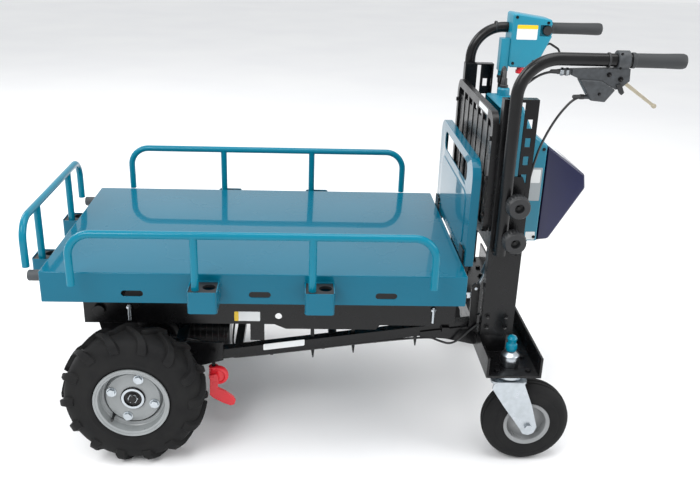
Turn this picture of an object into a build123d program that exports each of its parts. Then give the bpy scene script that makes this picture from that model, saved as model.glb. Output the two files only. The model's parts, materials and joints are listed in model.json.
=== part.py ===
"""Battery powered wheelbarrow with a flat dump deck, in millimetres.

X runs from the drive wheels towards the operator, Y from the operator's left to
the right, and Z up.  All sizes below are measured from the front edge of the deck;
save() moves each piece so that the origin is on the floor, under the middle of
the machine's bounding box.
"""
from build123d import *
from math import radians, tan
import os

# ---- deck
deck_length = 1050.0
deck_width = 676.0
deck_top = 520.0
deck_skirt = 80.0
deck_sheet = 3.0
deck_edge_radius = 4.0
slot_length, slot_height, slot_drop = 54.0, 16.0, 55.0
slot_stations = (0.2125, 0.511, 0.8095)

# ---- removable rails and their sockets
rail_od, rail_wall = 19.0, 2.0
rail_bend = 55.0
rail_out = 48.0
side_rail_rise, front_rail_rise = 118.0, 107.0
side_rail_half, side_post_half = 434.0, 140.5
front_rail_half, front_post_half = 278.0, 149.0
leg_drop = 13.0
post_depth = 38.0
socket_width, socket_depth, socket_height, socket_wall = 72.0, 72.0, 56.0, 2.5
socket_post_edge = 18.0
socket_spare_hole = 32.0
side_socket_drop, front_socket_drop = 18.0, 38.0
slide_fit = 0.1
insert_thickness = 8.0

# ---- deck subframe and headboard
subframe_half, subframe_web = 250.0, 4.0
subframe_flange = 24.0
subframe_front, subframe_rear = 77.0, 1044.0
subframe_low = 341.0
catch_x, catch_z, catch_r, catch_reach = 1064.0, 424.0, 5.0, 218.0
head_front, head_depth, head_sheet = 1056.0, 22.0, 3.0
head_half, head_low, head_high = 252.0, 512.0, 788.0
head_corner = 48.0
hand_slot_half, hand_slot_low, hand_slot_high = 176.0, 714.0, 764.0
bumper_od, bumper_length, bumper_half, bumper_z = 28.0, 40.0, 290.0, 490.0

# ---- dump pivot
pivot_x, pivot_z = 118.0, 380.0
pivot_od = 20.0
bearing_fit = 0.05

# ---- drive wheels
drive_x = 214.0
drive_radius, drive_tread, drive_centre = 186.5, 104.0, 342.0
drive_rim_radius = 96.0
axle_od, axle_tube_r = 25.0, 29.0
hub_face = 374.0
bolt_circle, bolt_turn, bolt_af = 56.0, 17.0, 18.0
drive_rim_half = 54.0
hub_r, disc_out, bolt_r = 29.0, 26.0, 5.0

# ---- casters
caster_pivot_x, caster_y = 1178.0, 337.0
caster_trail = 56.0
caster_radius, caster_width = 114.5, 68.0
caster_rim_radius = 60.0
fork_gap, fork_sheet = 39.0, 5.0
caster_axle_od = 12.0
crown_z = 241.0

# ---- chassis
tube_size, tube_wall, tube_y = 28.0, 2.5, 200.0
tube_start_x, tube_front_x, tube_rear_x = 252.0, 300.0, 1106.0
tube_front_z, tube_rear_z = 211.0, 326.0
beam_front, beam_rear, beam_half = 1106.0, 1246.0, 398.0
beam_floor, beam_sheet, beam_height = 270.0, 6.0, 56.0
upright_front, upright_rear, upright_web = 1110.0, 1194.0, 270.0
upright_low, upright_high, upright_sheet, upright_flange = 328.0, 948.0, 4.0, 24.0
stud_slot_width = 11.0
stud_slot_low, stud_slot_high = 596.0, 941.0
window_x, window_width, window_height = 1176.0, 13.0, 22.0
window_top, window_pitch, window_count = 890.0, 45.0, 6

# ---- guard between the uprights
guard_front, guard_half, guard_low, guard_high = 1094.0, 250.0, 596.0, 908.0
guard_tube, guard_corner = 16.0, 42.0
slat_count = 7

# ---- power housing and battery cover
house_half, house_seam = 92.0, 1283.0
house_low, house_front, house_high = 523.0, 1118.0, 893.0
boss_x, boss_y, boss_high = 1185.0, 62.0, 914.0
shell = 3.0
roof_chamfer = 16.0
apex_x, apex_z = 1399.0, 700.0
lid_half, lid_corner = 84.0, 13.0

# ---- handles
handle_od, handle_wall, handle_y = 30.0, 2.5, 295.5
handle_x, handle_z, handle_low, handle_bend = 1132.0, 1047.5, 562.0, 92.0
grip_start_left, grip_start_right, grip_end = 1386.0, 1358.0, 1508.0
grip_r, grip_tip = 16.5, 1514.3
knob_x, knob_upper_z, knob_pitch = 1156.0, 701.0, 90.0
knob_r, knob_inner, knob_outer = 29.5, 313.0, 346.0
stud_od = 10.0

origin_x = (grip_tip - socket_depth) / 2


def block(x0, x1, y0, y1, z0, z1):
    return Pos((x0 + x1) / 2, (y0 + y1) / 2, (z0 + z1) / 2) * Box(x1 - x0, y1 - y0, z1 - z0)


def rod_x(y, z, radius, x0, x1):
    return Pos((x0 + x1) / 2, y, z) * Rot(0, 90, 0) * Cylinder(radius, x1 - x0)


def rod_y(x, z, radius, y0, y1):
    return Pos(x, (y0 + y1) / 2, z) * Rot(90, 0, 0) * Cylinder(radius, y1 - y0)


def rod_z(x, y, radius, z0, z1):
    return Pos(x, y, (z0 + z1) / 2) * Cylinder(radius, z1 - z0)


def plate_xz(points, y0, y1, corner=0.0):
    """Flat plate with an outline in X and Z, between y0 and y1."""
    face = make_face(Polyline(*points, close=True))
    if corner:
        face = fillet(face.vertices(), corner)
    plane = Plane(origin=(0, y1, 0), x_dir=(1, 0, 0), z_dir=(0, -1, 0))
    return extrude(plane * face, amount=y1 - y0)


def plate_yz(points, x0, x1, corner=0.0):
    """Flat plate with an outline in Y and Z, between x0 and x1."""
    face = make_face(Polyline(*points, close=True))
    if corner:
        face = fillet(face.vertices(), corner)
    plane = Plane(origin=(x0, 0, 0), x_dir=(0, 1, 0), z_dir=(1, 0, 0))
    return extrude(plane * face, amount=x1 - x0)


def rectangle(a0, a1, b0, b1):
    return [(a0, b0), (a1, b0), (a1, b1), (a0, b1)]


def pipe(points, bends, radius, wall=0.0):
    """Round bar or tube along straight runs joined by arcs."""
    path = FilletPolyline(*points, radius=bends) if len(points) > 2 else Line(*points)
    start = Plane(origin=path @ 0, z_dir=path % 0)
    section = Circle(radius)
    if wall:
        section -= Circle(radius - wall)
    return sweep(start * section, path=path)


def turned_y(profile, x, z, y, side=-1):
    """Solid of revolution about a cross axle; profile is (radius, outward distance)."""
    face = make_face(Polyline(*profile, close=True))
    plane = Plane(origin=(x, y, z), x_dir=(1, 0, 0), z_dir=(0, 0, 1 if side > 0 else -1))
    return revolve(plane * face, axis=Axis((x, y, z), (0, side, 0)))


def other_side(shape):
    return mirror(shape, about=Plane.XZ)


def save(name, *shapes):
    solids = [solid for shape in shapes for solid in shape.solids()]
    whole = solids[0] if len(solids) == 1 else Compound(solids)
    export_step(whole.moved(Location((-origin_x, 0, 0))), f"parts/{name}.step")


# ---------------------------------------------------------------- deck
def deck_tray():
    low = deck_top - deck_skirt
    half = deck_width / 2
    tray = block(0, deck_length, -half, half, low, deck_top)
    tray = fillet(tray.edges().filter_by(Axis.Z), deck_edge_radius)
    tray = fillet(tray.edges().group_by(Axis.Z)[-1], deck_edge_radius - 1)
    tray -= block(deck_sheet, deck_length - deck_sheet, deck_sheet - half, half - deck_sheet,
                  low - 1, deck_top - deck_sheet)
    for station in slot_stations:
        x = station * deck_length
        z = deck_top - slot_drop
        reach = (slot_length - slot_height) / 2
        hole = block(x - reach, x + reach, -deck_width, deck_width, z - slot_height / 2, z + slot_height / 2)
        for end in (x - reach, x + reach):
            hole += rod_y(end, z, slot_height / 2, -deck_width, deck_width)
        tray -= hole
    return tray


def deck_subframe():
    """Two cross channels inside the tray on two long channels, and the pivot bosses."""
    low_tray = deck_top - deck_skirt
    belly = subframe_low - 13
    outline = [(subframe_front, subframe_low), (506, subframe_low), (506, 293), (543, 293), (543, subframe_low),
               (569, subframe_low), (599, belly), (836, belly), (846, subframe_low),
               (subframe_rear, subframe_low), (subframe_rear, low_tray), (subframe_front, low_tray)]
    web = plate_xz(outline, subframe_half - subframe_web / 2, subframe_half + subframe_web / 2)
    web -= rod_y(580, 364, 9, 0, deck_width)
    inner = subframe_half - subframe_web / 2
    top = block(subframe_front, subframe_rear, inner - subframe_flange, inner, low_tray - subframe_web, low_tray)
    boss = rod_y(pivot_x, pivot_z, 24, inner - 14, inner)
    channel = web + top + boss
    channel -= rod_y(pivot_x, pivot_z, pivot_od / 2 + bearing_fit, 0, deck_width)
    frame = channel + other_side(channel)
    frame += block(subframe_rear, catch_x + 6, -inner - subframe_web, -inner, catch_z - 8, catch_z + 8)
    frame += rod_y(catch_x, catch_z, catch_r, -inner - subframe_web, -catch_reach)
    for station in (0.16, 0.40, 0.64, 0.90):
        x = station * deck_length
        hat = block(x - 26, x + 26, -deck_width / 2 + 6, deck_width / 2 - 6, low_tray, deck_top - deck_sheet)
        hat -= block(x - 22, x + 22, -deck_width, deck_width, low_tray - 1, deck_top - deck_sheet - 4)
        frame += hat
    return frame


def socket_shell():
    """Sheet box open at the top, its back on the deck at y = 0, out towards -y."""
    box = block(0, socket_width, -socket_depth, 0, -socket_height, 0)
    corners = box.edges().filter_by(Axis.Z).group_by(Axis.Y)[0]
    box = fillet(corners, 9)
    box -= block(socket_wall, socket_width - socket_wall, socket_wall - socket_depth, -socket_wall,
                 socket_wall - socket_height, 1)
    return box


def socket_insert():
    """Plastic guide in the mouth of a socket, with the post hole and the spare hole."""
    wall = socket_wall
    guide = block(wall, socket_width - wall, wall - socket_depth, -wall, -insert_thickness - 3, -3)
    guide -= rod_z(socket_post_edge, -rail_out, rail_od / 2 + slide_fit, -socket_height, 1)
    guide -= rod_z(socket_width - 22, 4 - socket_depth / 2, socket_spare_hole / 2, -socket_height, 1)
    return guide


def side_socket_places():
    middle = deck_length / 2
    for x in (middle - side_post_half, middle + side_post_half):
        yield Location((x - socket_post_edge, -deck_width / 2, deck_top - side_socket_drop))


def front_pair(shape):
    """The two front sockets are the same part, turned to face forwards."""
    turned = Rot(0, 0, -90) * mirror(shape, about=Plane.YZ)
    z = deck_top - front_socket_drop
    return [Pos(0, y - socket_post_edge, z) * turned for y in (-front_post_half, front_post_half)]


def headboard():
    """Pressed sheet panel with a turned rim, a hand slot and a raised field."""
    outer = [(-head_half, head_low), (head_half, head_low), (head_half, head_high), (-head_half, head_high)]
    t = head_sheet
    inner = [(t - head_half, head_low - 1), (head_half - t, head_low - 1),
             (head_half - t, head_high - t), (t - head_half, head_high - t)]

    def rounded(points, radius, x0, x1):
        body = plate_yz(points, x0, x1)
        tops = body.edges().filter_by(Axis.X).group_by(Axis.Z)[-1]
        return fillet(tops, radius)

    pan = rounded(outer, head_corner, head_front, head_front + head_depth)
    pan -= rounded(inner, head_corner - t, head_front + t, head_front + head_depth + 1)
    pan -= plate_yz(rectangle(-hand_slot_half, hand_slot_half, hand_slot_low, hand_slot_high),
                    head_front - 1, head_front + t + 1, 20)
    field = plate_yz(rectangle(-190, 190, head_low + 34, hand_slot_low - 24), head_front - 2, head_front, 26)
    return pan + field


def headboard_brackets():
    low = deck_top - 66
    foot = block(deck_length, head_front, -238, -188, low, head_low + 40)
    web = plate_xz([(head_front, low), (head_front + 18, low + 30), (head_front + 18, head_low + 36),
                    (head_front + 3.2, head_low + 36), (head_front + 3.2, head_low - 0.2), (head_front, head_low - 0.2)],
                   -216, -211)
    foot -= block(head_front - 3, head_front + 1, -300, -100, head_low - 0.2, head_low + 60)
    bracket = foot + web
    return bracket, other_side(bracket)


def deck_bumpers():
    bumper = rod_x(-bumper_half, bumper_z, bumper_od / 2, -bumper_length, 0)
    bumper = fillet(bumper.edges().group_by(Axis.X)[0], 3)
    return bumper, other_side(bumper)


# ---------------------------------------------------------------- rails
def rail(half, post_half, rise, leg_end, post_end, x_axis=True):
    """A bent tube hoop with two legs and two posts, built in the X-Z plane about x = 0."""
    hoop = pipe([(-half, 0, leg_end), (-half, 0, rise), (half, 0, rise), (half, 0, leg_end)],
                rail_bend, rail_od / 2, rail_wall)
    post = rod_z(0, 0, rail_od / 2, post_end, rise)
    bore = pipe([(-half, 0, leg_end), (-half, 0, rise), (half, 0, rise), (half, 0, leg_end)],
                rail_bend, rail_od / 2 - rail_wall)
    posts = Pos(-post_half, 0, 0) * post + Pos(post_half, 0, 0) * post
    frame = hoop + (posts - bore)
    return frame if x_axis else Rot(0, 0, 90) * frame


def side_rail():
    post_end = -side_socket_drop - post_depth
    frame = rail(side_rail_half, side_post_half, side_rail_rise, -leg_drop, post_end)
    return Pos(deck_length / 2, -deck_width / 2 - rail_out, deck_top) * frame


def front_rail():
    post_end = -front_socket_drop - post_depth
    frame = rail(front_rail_half, front_post_half, front_rail_rise, -leg_drop, post_end, x_axis=False)
    return Pos(-rail_out, 0, deck_top) * frame


# ---------------------------------------------------------------- chassis
def tube_z(x):
    slope = (tube_rear_z - tube_front_z) / (tube_rear_x - tube_front_x)
    return tube_front_z + slope * (x - tube_front_x)


def long_bar(x0, x1, y0, y1, half_height):
    """Bar that follows the slope of the chassis tubes."""
    return plate_xz([(x0, tube_z(x0) - half_height), (x1, tube_z(x1) - half_height),
                     (x1, tube_z(x1) + half_height), (x0, tube_z(x0) + half_height)], y0, y1)


def chassis_frame():
    """Two sloping square tubes, three cross tubes, rear gussets and the drive motor tray."""
    half = tube_size / 2
    inside = half - tube_wall
    outer = long_bar(tube_start_x, tube_rear_x, -tube_y - half, -tube_y + half, half)
    bore = long_bar(tube_start_x - 1, tube_rear_x - 4, -tube_y - inside, -tube_y + inside, inside)
    side = outer - bore
    reach = tube_y - half
    frame = side + other_side(side)
    for x, size in ((470, 11), (725, 11), (985, 12)):
        z = tube_z(x)
        cross = block(x - size, x + size, -reach, reach, z - size, z + size)
        cross -= block(x + 2.5 - size, x - 2.5 + size, -reach - 1, reach + 1, z + 2.5 - size, z - 2.5 + size)
        frame += cross
    gusset = plate_xz([(960, tube_z(960) - half), (1030, 286), (beam_front, beam_floor), (beam_front, tube_z(beam_front)),
                       (960, tube_z(960))],
                      -tube_y - half - 5, -tube_y - half)
    frame += gusset + other_side(gusset)
    for x in (670, 780, 948):
        z = tube_z(x)
        fin = plate_xz([(x - 5, z - half), (x + 7, z - half), (x + 4, z - half - 34), (x + 1, z - half - 34)],
                       -tube_y - 2.5, -tube_y + 2.5)
        strut = block(x - 5, x + 5, -tube_y - 3, -tube_y + 3, z + half, subframe_low - 20)
        frame += fin + other_side(fin)
        if x < 900:
            frame += strut + other_side(strut)
    rest_z = subframe_low - 0.5
    rest = block(1010, 1030, -262, 262, rest_z - 16, rest_z)
    post_low = tube_z(1020) - half
    frame += rest
    for y in (-tube_y, tube_y):
        frame += block(1012, 1028, y - half, y + half, post_low + half, rest_z - 8)
    latch = plate_xz([(1086, 330), (1106, 318), (1106, 452), (1094, 458), (1084, 448)], -235, -230.4)
    link = block(1086, 1106, -235, -tube_y - half - 5, 318, 332)
    latch -= rod_y(1096, 442, 4 + bearing_fit, -250, -220)
    return frame + latch + link


def axle_cradle():
    """Two side plates that carry the axle tubes and rise to the dump pivot."""
    outer = tube_y + tube_size / 2 + 6
    inner = tube_y + tube_size / 2
    outline = [(150, 160), (182, 142), (250, 142), (300, 178), (430, 214), (430, 268), (300, 268),
               (196, 300), (142, pivot_z), (138, pivot_z + 18), (118, pivot_z + 24), (98, pivot_z + 18),
               (94, pivot_z), (118, 262), (140, 214)]
    plate = plate_xz(outline, -outer, -inner)
    plate -= rod_y(drive_x, drive_radius, axle_tube_r, -deck_width, 0)
    plate -= rod_y(pivot_x, pivot_z, pivot_od / 2, -deck_width, 0)
    brace = block(300, 330, -inner, inner, 257, 265)
    under = tube_z(401) - tube_size / 2
    hanger = rod_z(401, -tube_y, 5, 150, under + 3) - long_bar(380, 422, -tube_y - 10, -tube_y + 10, tube_size / 2)
    seat = block(385, 417, -inner, -tube_y + 20, under - 5, under + 3)
    seat -= long_bar(380, 422, -inner - 1, -tube_y + 30, tube_size / 2)
    head = rod_z(401, -tube_y, 9, 142, 150)
    return plate + other_side(plate) + brace + hanger + head + seat


def dump_pivot_shaft():
    reach = subframe_half + subframe_web / 2 + 6
    shaft = rod_y(pivot_x, pivot_z, pivot_od / 2, -reach, reach)
    for side in (-1, 1):
        y0, y1 = sorted((side * reach, side * (reach + 5)))
        shaft += rod_y(pivot_x, pivot_z, pivot_od / 2 + 5, y0, y1)
    return shaft


def transaxle_housing():
    """Cast gearbox in the middle with an axle tube to each wheel."""
    z = drive_radius
    case = chamfer(rod_y(drive_x, z, 78, -56, 56).edges().filter_by(GeomType.CIRCLE), 9)
    case += rod_y(drive_x, z, 86, -6, 6)
    case -= rod_y(drive_x, z, 62, -46, 46)
    neck = rod_x(0, z + 10, 46, drive_x + 30, 306) - rod_y(drive_x, z, 72, -60, 60)
    tube = rod_y(drive_x, z, axle_tube_r, -270, -50)
    drum = rod_y(drive_x, z, 56, -112, -80)
    stop = block(drive_x + 40, drive_x + 56, -102, -88, 212, 228)
    side = tube + drum + stop
    whole = case + neck + side + other_side(side)
    return whole - rod_y(drive_x, z, axle_od / 2 + bearing_fit, -280, 280)


def drive_motor():
    z = drive_radius + 10
    can = rod_x(0, z, 52, 306, 432)
    can = fillet(can.edges().group_by(Axis.X)[-1], 8)
    return can + rod_x(0, z, 58, 306, 316)


def rear_cross_beam():
    """Upward channel between the casters, with a foot for each upright."""
    top = beam_floor + beam_height
    t = beam_sheet
    beam = block(beam_front, beam_rear, -beam_half, beam_half, beam_floor, top)
    beam -= block(beam_front + t, beam_rear - t, -beam_half - 1, beam_half + 1, beam_floor + t, top + 1)
    foot = block(upright_front + upright_sheet, upright_rear - 14, -upright_web + 1, -upright_web + 7,
                 beam_floor + t, upright_low + 24)
    beam += foot + other_side(foot)
    for y in (-caster_y, caster_y):
        beam -= rod_z(caster_pivot_x, y, 13, beam_floor - 1, beam_floor + t + 1)
    return beam


def upright():
    """Folded channel with a stud slot, a row of index windows and a folded cap."""
    y = -upright_web
    t = upright_sheet
    body = block(upright_front, upright_rear, y - t, y, upright_low, upright_high)
    body += block(upright_front, upright_front + t, y, y + upright_flange, upright_low, upright_high)
    body += block(upright_rear - t, upright_rear, y, y + upright_flange, upright_low, upright_high)
    body += block(upright_front, upright_rear, y, y + upright_flange, upright_high - t, upright_high)
    body -= block(1121, 1143, y + 2, y + 22, upright_high - t - 1, upright_high + 1)
    half = stud_slot_width / 2
    body -= block(knob_x - half, knob_x + half, y - t - 1, y + 1, stud_slot_low, stud_slot_high)
    for index in range(window_count):
        z = window_top - index * window_pitch
        body -= block(window_x - window_width / 2, window_x + window_width / 2, y - t - 1, y + 1,
                      z - window_height / 2, z + window_height / 2)
    return body


def guard():
    """Round cornered hoop with slats above and a sheet panel below."""
    back = guard_front + guard_tube
    outline = rectangle(-guard_half, guard_half, guard_low, guard_high)
    rim = guard_tube + 6
    hole = rectangle(rim - guard_half, guard_half - rim, guard_low + rim, guard_high - rim)
    hoop = plate_yz(outline, guard_front, back, guard_corner)
    hoop -= plate_yz(hole, guard_front - 1, back + 1, guard_corner - rim)
    panel_high = guard_high - 44
    middle = guard_front + guard_tube / 2
    hoop += block(middle - 2, middle + 2, rim - guard_half - 2, guard_half - rim + 2, guard_low + rim - 2, panel_high)
    gap = 2 * (guard_half - rim) / slat_count
    for index in range(1, slat_count):
        y = rim - guard_half + index * gap
        hoop += block(middle - 4, middle + 4, y - 9, y + 9, guard_low + rim - 2, guard_high - rim + 2)
    return hoop


def house_roof(x):
    """Height of the sloping top over the seam and the lid."""
    return apex_z + 8 + (apex_x - x) * 0.72


def main_housing():
    """Teal shell, open at the back towards the lid."""
    top = house_roof(house_seam)
    outline = [(house_front + 26, house_low), (house_seam, house_low), (house_seam, top), (1240, top + 30),
               (1206, house_high), (house_front + 26, house_high)]
    outside = plate_xz(outline, -house_half, house_half, 5)
    sides = outside.faces().filter_by(Axis.Y)
    outside = chamfer(sides.edges(), 5)
    inner = [(house_front + 20, house_low + shell), (house_seam + 1, house_low + shell),
             (house_seam + 1, top - shell), (1238, top + 26), (1204, house_high - 4), (house_front + 20, house_high - 4)]
    shell_body = outside - plate_xz(inner, shell - house_half, house_half - shell)
    boss = rod_z(boss_x, boss_y, 17, house_high, boss_high)
    boss = fillet(boss.edges().group_by(Axis.Z)[-1], 6)
    return shell_body + boss


def housing_back():
    """Black carrier plate and controller tray that hangs the housing on the uprights."""
    front = upright_front + upright_sheet + 2
    reach = upright_web - upright_sheet
    plate = block(front, front + 4, -reach, reach, house_low + 30, house_roof(house_seam) + 60)
    tray = block(front + 4, house_front + 26, -house_half + 8, house_half - 8, house_low + 20, house_low + 300)
    tray -= block(front + 10, house_front + 27, -house_half + 14, house_half - 14, house_low + 26, house_low + 294)
    return plate + tray


def battery_packs():
    """Two slide-in packs side by side behind the lid."""
    pack = block(house_seam - 88, house_seam + 22, -house_half + 12, -6, house_low + 70, house_low + 148)
    pack = fillet(pack.edges().filter_by(Axis.Y), 8)
    rail_block = block(house_seam - 84, house_seam + 6, -house_half + 24, -18, house_low + 148, house_low + 162)
    pack += rail_block
    return pack, other_side(pack)


def battery_cover():
    """Smoky lid over the packs, hinged along its top edge."""
    gap = 0.6
    x0 = house_seam + gap
    top = house_roof(x0) - 1
    outline = [(x0, house_low), (1316, house_low + 4), (apex_x, apex_z - 26), (apex_x - 6, house_roof(apex_x - 6)),
               (x0, top)]
    lid = plate_xz(outline, -lid_half, lid_half)
    rounded = lid.edges().filter_by(Axis.Y).sort_by(Axis.X)[-3:]
    lid = fillet(rounded, lid_corner)
    lid = chamfer(lid.faces().filter_by(Axis.Y).edges(), 4)
    t = shell
    inner = [(x0 - 1, house_low + t), (1314, house_low + t + 4), (apex_x - t - 1, apex_z - 26),
             (apex_x - t - 8, house_roof(apex_x - 6) - t), (x0 - 1, top - t)]
    lid -= plate_xz(inner, t - lid_half, lid_half - t)
    return lid


def caster_plates():
    """Top plate, swivel race and lock dome of each caster."""
    x, y = caster_pivot_x, -caster_y
    plate = block(x - 51, x + 51, y - 48, y + 48, beam_floor - 6, beam_floor)
    plate = fillet(plate.edges().filter_by(Axis.Z), 8)
    race = rod_z(x, y, 37, crown_z + 9, beam_floor - 6)
    lower = plate + race
    lower -= rod_z(x, y, 9.1, crown_z - 1, beam_floor + 1)
    floor = beam_floor + beam_sheet
    face = make_face(Polyline((0, floor), (22, floor), (26, floor + 20), (24, floor + 31), (14, floor + 38),
                              (9, floor + 41), (0, floor + 41), close=True))
    dome = Pos(x, y, 0) * revolve(Plane.XZ * face, axis=Axis.Z)
    dome -= rod_z(x, y, 6 + bearing_fit, floor - 1, floor + 60)
    return lower, dome, other_side(lower), other_side(dome)


def frame_bolts():
    """Hexagon screws of the caster plates and the guard."""
    bolts = []
    for side in (-1, 1):
        for dx in (-40, 40):
            for dy in (-36, 36):
                x, y = caster_pivot_x + dx, side * caster_y + dy
                head = extrude(Pos(x, y, beam_floor + beam_sheet) * RegularPolygon(7.5, 6), amount=6)
                bolts.append(head)
    for side in (-1, 1):
        for z in (650, 745, 845):
            head = Pos(guard_front, side * (guard_half - 11), z) * Rot(0, -90, 0)
            bolts.append(extrude(head * RegularPolygon(6, 6), amount=4.5))
    return bolts


# ---------------------------------------------------------------- drive wheels
def hollow_profile(outer, inner):
    """Closed outline of a hollow tyre from one half of its outside and of its inside."""

    def flipped(points):
        return [(radius, -across) for radius, across in reversed(points)]

    outside = outer + flipped(outer)
    inside = inner + flipped(inner)
    return outside + inside[::-1]


def drive_tyre():
    """Tractor tyre section without its lugs."""
    half, toe = drive_tread / 2, drive_rim_half - 8
    r, lip = drive_radius, drive_rim_radius
    bead = lip - 8
    outer = [(bead, toe), (lip + 0.5, toe), (lip + 3, half), (lip + 12, half + 4), (lip + 38, half + 5.5),
             (r - 26, half + 2), (r - 10, half - 6), (r, half - 20)]
    inner = [(bead, toe - 10), (lip + 3, toe - 6), (lip + 38, half - 6), (r - 30, half - 9), (r - 16, half - 24)]
    return turned_y(hollow_profile(outer, inner), drive_x, drive_radius, -drive_centre)


def bolt_places(y):
    """Places of the four wheel bolts, with local Z pointing outwards along -Y."""
    for index in range(4):
        yield Pos(drive_x, y, drive_radius) * Rot(0, bolt_turn + 90 * index, 0) * Pos(bolt_circle, 0, 0) * Rot(90, 0, 0)


def drive_rim():
    """Pressed rim with a dished disc."""
    half = drive_rim_half
    lip, bead, well = drive_rim_radius, drive_rim_radius - 8, drive_rim_radius - 16
    outer = [(lip, half), (lip, half - 5), (bead, half - 8), (bead, 24), (well, 16)]
    inner = [(bead - 4, half - 2), (bead - 4, 26), (well - 4, 18)]
    rim = turned_y(hollow_profile(outer, inner), drive_x, drive_radius, -drive_centre)
    disc = turned_y([(hub_r, disc_out), (68, disc_out), (well - 3.5, 12), (well - 3.5, 4), (66, disc_out - 5),
                     (hub_r, disc_out - 5)], drive_x, drive_radius, -drive_centre)
    wheel = rim + disc
    for place in bolt_places(-drive_centre - 26):
        wheel -= place * Cylinder(bolt_r, 30)
    return wheel


def drive_hub():
    """Shaft, hub flange, four wheel bolts and the hub nose, turning as one."""
    z = drive_radius
    face = drive_centre + disc_out
    back = face - 5
    shaft = rod_y(drive_x, z, axle_od / 2, -face - 2, -60)
    flange = rod_y(drive_x, z, 64, -back, -back + 7)
    boss = rod_y(drive_x, z, 34, -back + 7, -back + 60)
    nose = rod_y(drive_x, z, hub_r, -hub_face, -back) - rod_y(drive_x, z, hub_r - 6, -hub_face - 1, -back)
    nut = Pos(drive_x, -face, z) * Rot(90, 0, 0) * extrude(RegularPolygon(13, 6), amount=-6, both=True)
    hub = shaft + flange + boss + nose + nut
    for place in bolt_places(-face + 1):
        hub += place * Cylinder(bolt_r, 12)
    for place in bolt_places(-face):
        hub += place * extrude(RegularPolygon(bolt_af / 2 * 1.1547, 6), amount=8)
        hub += place * Pos(0, 0, 1) * Cylinder(13, 2)
    return hub


# ---------------------------------------------------------------- casters
def caster_fork():
    """Crown, king pin and two legs with the axle bolt."""
    x, y = caster_pivot_x, -caster_y
    xa, za = x + caster_trail, caster_radius
    inner, outer = fork_gap, fork_gap + fork_sheet
    crown = block(x - 50, x + 42, y - outer, y + outer, crown_z, crown_z + 6)
    crown = fillet(crown.edges().filter_by(Axis.Z), 14)
    outline = [(x - 44, crown_z + 3), (x + 33, crown_z + 3), (x + 60, 178), (xa + 23, za), (xa + 17, za - 18),
               (xa + 3, za - 25), (xa - 12, za - 21), (xa - 22, za - 4), (x - 15, 178), (x - 48, 228)]
    near = plate_xz(outline, y - outer, y - inner, 5)
    far = plate_xz(outline, y + inner, y + outer, 5)
    fork = crown + near + far
    fork += rod_z(x, y, 30, crown_z + 6, crown_z + 8.7)
    fork += rod_z(x, y, 9, crown_z + 6, beam_floor - 1)
    axle = rod_y(xa, za, caster_axle_od / 2, y - outer - 8, y + outer + 8)
    for side in (-1, 1):
        nut = Pos(xa, y + side * outer, za) * Rot(90 * -side, 0, 0)
        axle += nut * extrude(RegularPolygon(10, 6), amount=8)
    return fork + axle


def caster_tyre():
    half = caster_width / 2
    r, bead = caster_radius, caster_rim_radius - 5
    lip = caster_rim_radius
    outer = [(bead, half - 9), (lip + 0.5, half - 9), (lip + 2, half - 3), (lip + 14, half), (lip + 30, half - 0.5),
             (r - 12, half - 5), (r - 3, half - 15), (r, half - 26)]
    inner = [(bead, half - 16), (lip + 6, half - 12), (lip + 30, half - 9), (r - 12, half - 18)]
    return turned_y(hollow_profile(outer, inner), caster_pivot_x + caster_trail, caster_radius, -caster_y)


def caster_rim():
    half = caster_width / 2
    lip, bead = caster_rim_radius, caster_rim_radius - 5
    x, z = caster_pivot_x + caster_trail, caster_radius
    outer = [(lip, half - 3), (lip, half - 7), (bead, half - 9)]
    inner = [(bead - 4, half - 6)]
    rim = turned_y(hollow_profile(outer, inner), x, z, -caster_y)
    rim += turned_y([(10, half - 4), (21, half - 4), (24, 8), (bead - 3.5, 4), (bead - 3.5, -4), (24, -8),
                     (21, 4 - half), (10, 4 - half)], x, z, -caster_y)
    bush = rod_y(caster_pivot_x + caster_trail, caster_radius, 10, -caster_y - fork_gap + 1, -caster_y + fork_gap - 1)
    return rim + bush - rod_y(caster_pivot_x + caster_trail, caster_radius, caster_axle_od / 2 + bearing_fit,
                              -caster_y - 60, -caster_y + 60)


def caster_lock_knob():
    """Teal knob on its plunger."""
    x, y = caster_pivot_x, -caster_y
    base = beam_floor + beam_sheet + 42
    face = make_face(Polyline((0, base), (13, base), (15, base + 8), (14, base + 18), (10, base + 21), (11, base + 27),
                              (13, base + 34), (9, base + 40), (0, base + 42), close=True))
    knob = Pos(x, y, 0) * revolve(Plane.XZ * face, axis=Axis.Z)
    return knob + rod_z(x, y, 6, beam_floor + beam_sheet + 4, base)


# ---------------------------------------------------------------- handles
def handle_tube():
    """Bent tube with its flat slide bracket and the two stud bosses."""
    y = -handle_y
    tube = pipe([(handle_x, y, handle_low + 2), (handle_x, y, handle_z), (grip_end - 6, y, handle_z)],
                handle_bend, handle_od / 2, handle_wall)
    face_y = -upright_web - upright_sheet - 0.4
    tube_face = -handle_y + handle_od / 2
    plate = plate_xz([(1117, handle_low), (1178, handle_low), (1180, 590), (1180, 742), (1172, 762), (1117, 762)],
                     tube_face - 1.5, face_y, 4)
    plate -= pipe([(handle_x, y, handle_low - 9), (handle_x, y, 900)], 0, handle_od / 2 - 0.01)
    whole = tube + plate
    for z in (knob_upper_z, knob_upper_z - knob_pitch):
        boss = rod_y(knob_x, z, 11, -knob_inner + 0.5, tube_face - 1.5)
        cut = rod_z(handle_x, y, handle_od / 2 - 0.01, z - 20, z + 20)
        whole += boss - cut
        whole -= rod_y(knob_x, z, stud_od / 2 + bearing_fit, -knob_inner, 0)
    return whole


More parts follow.
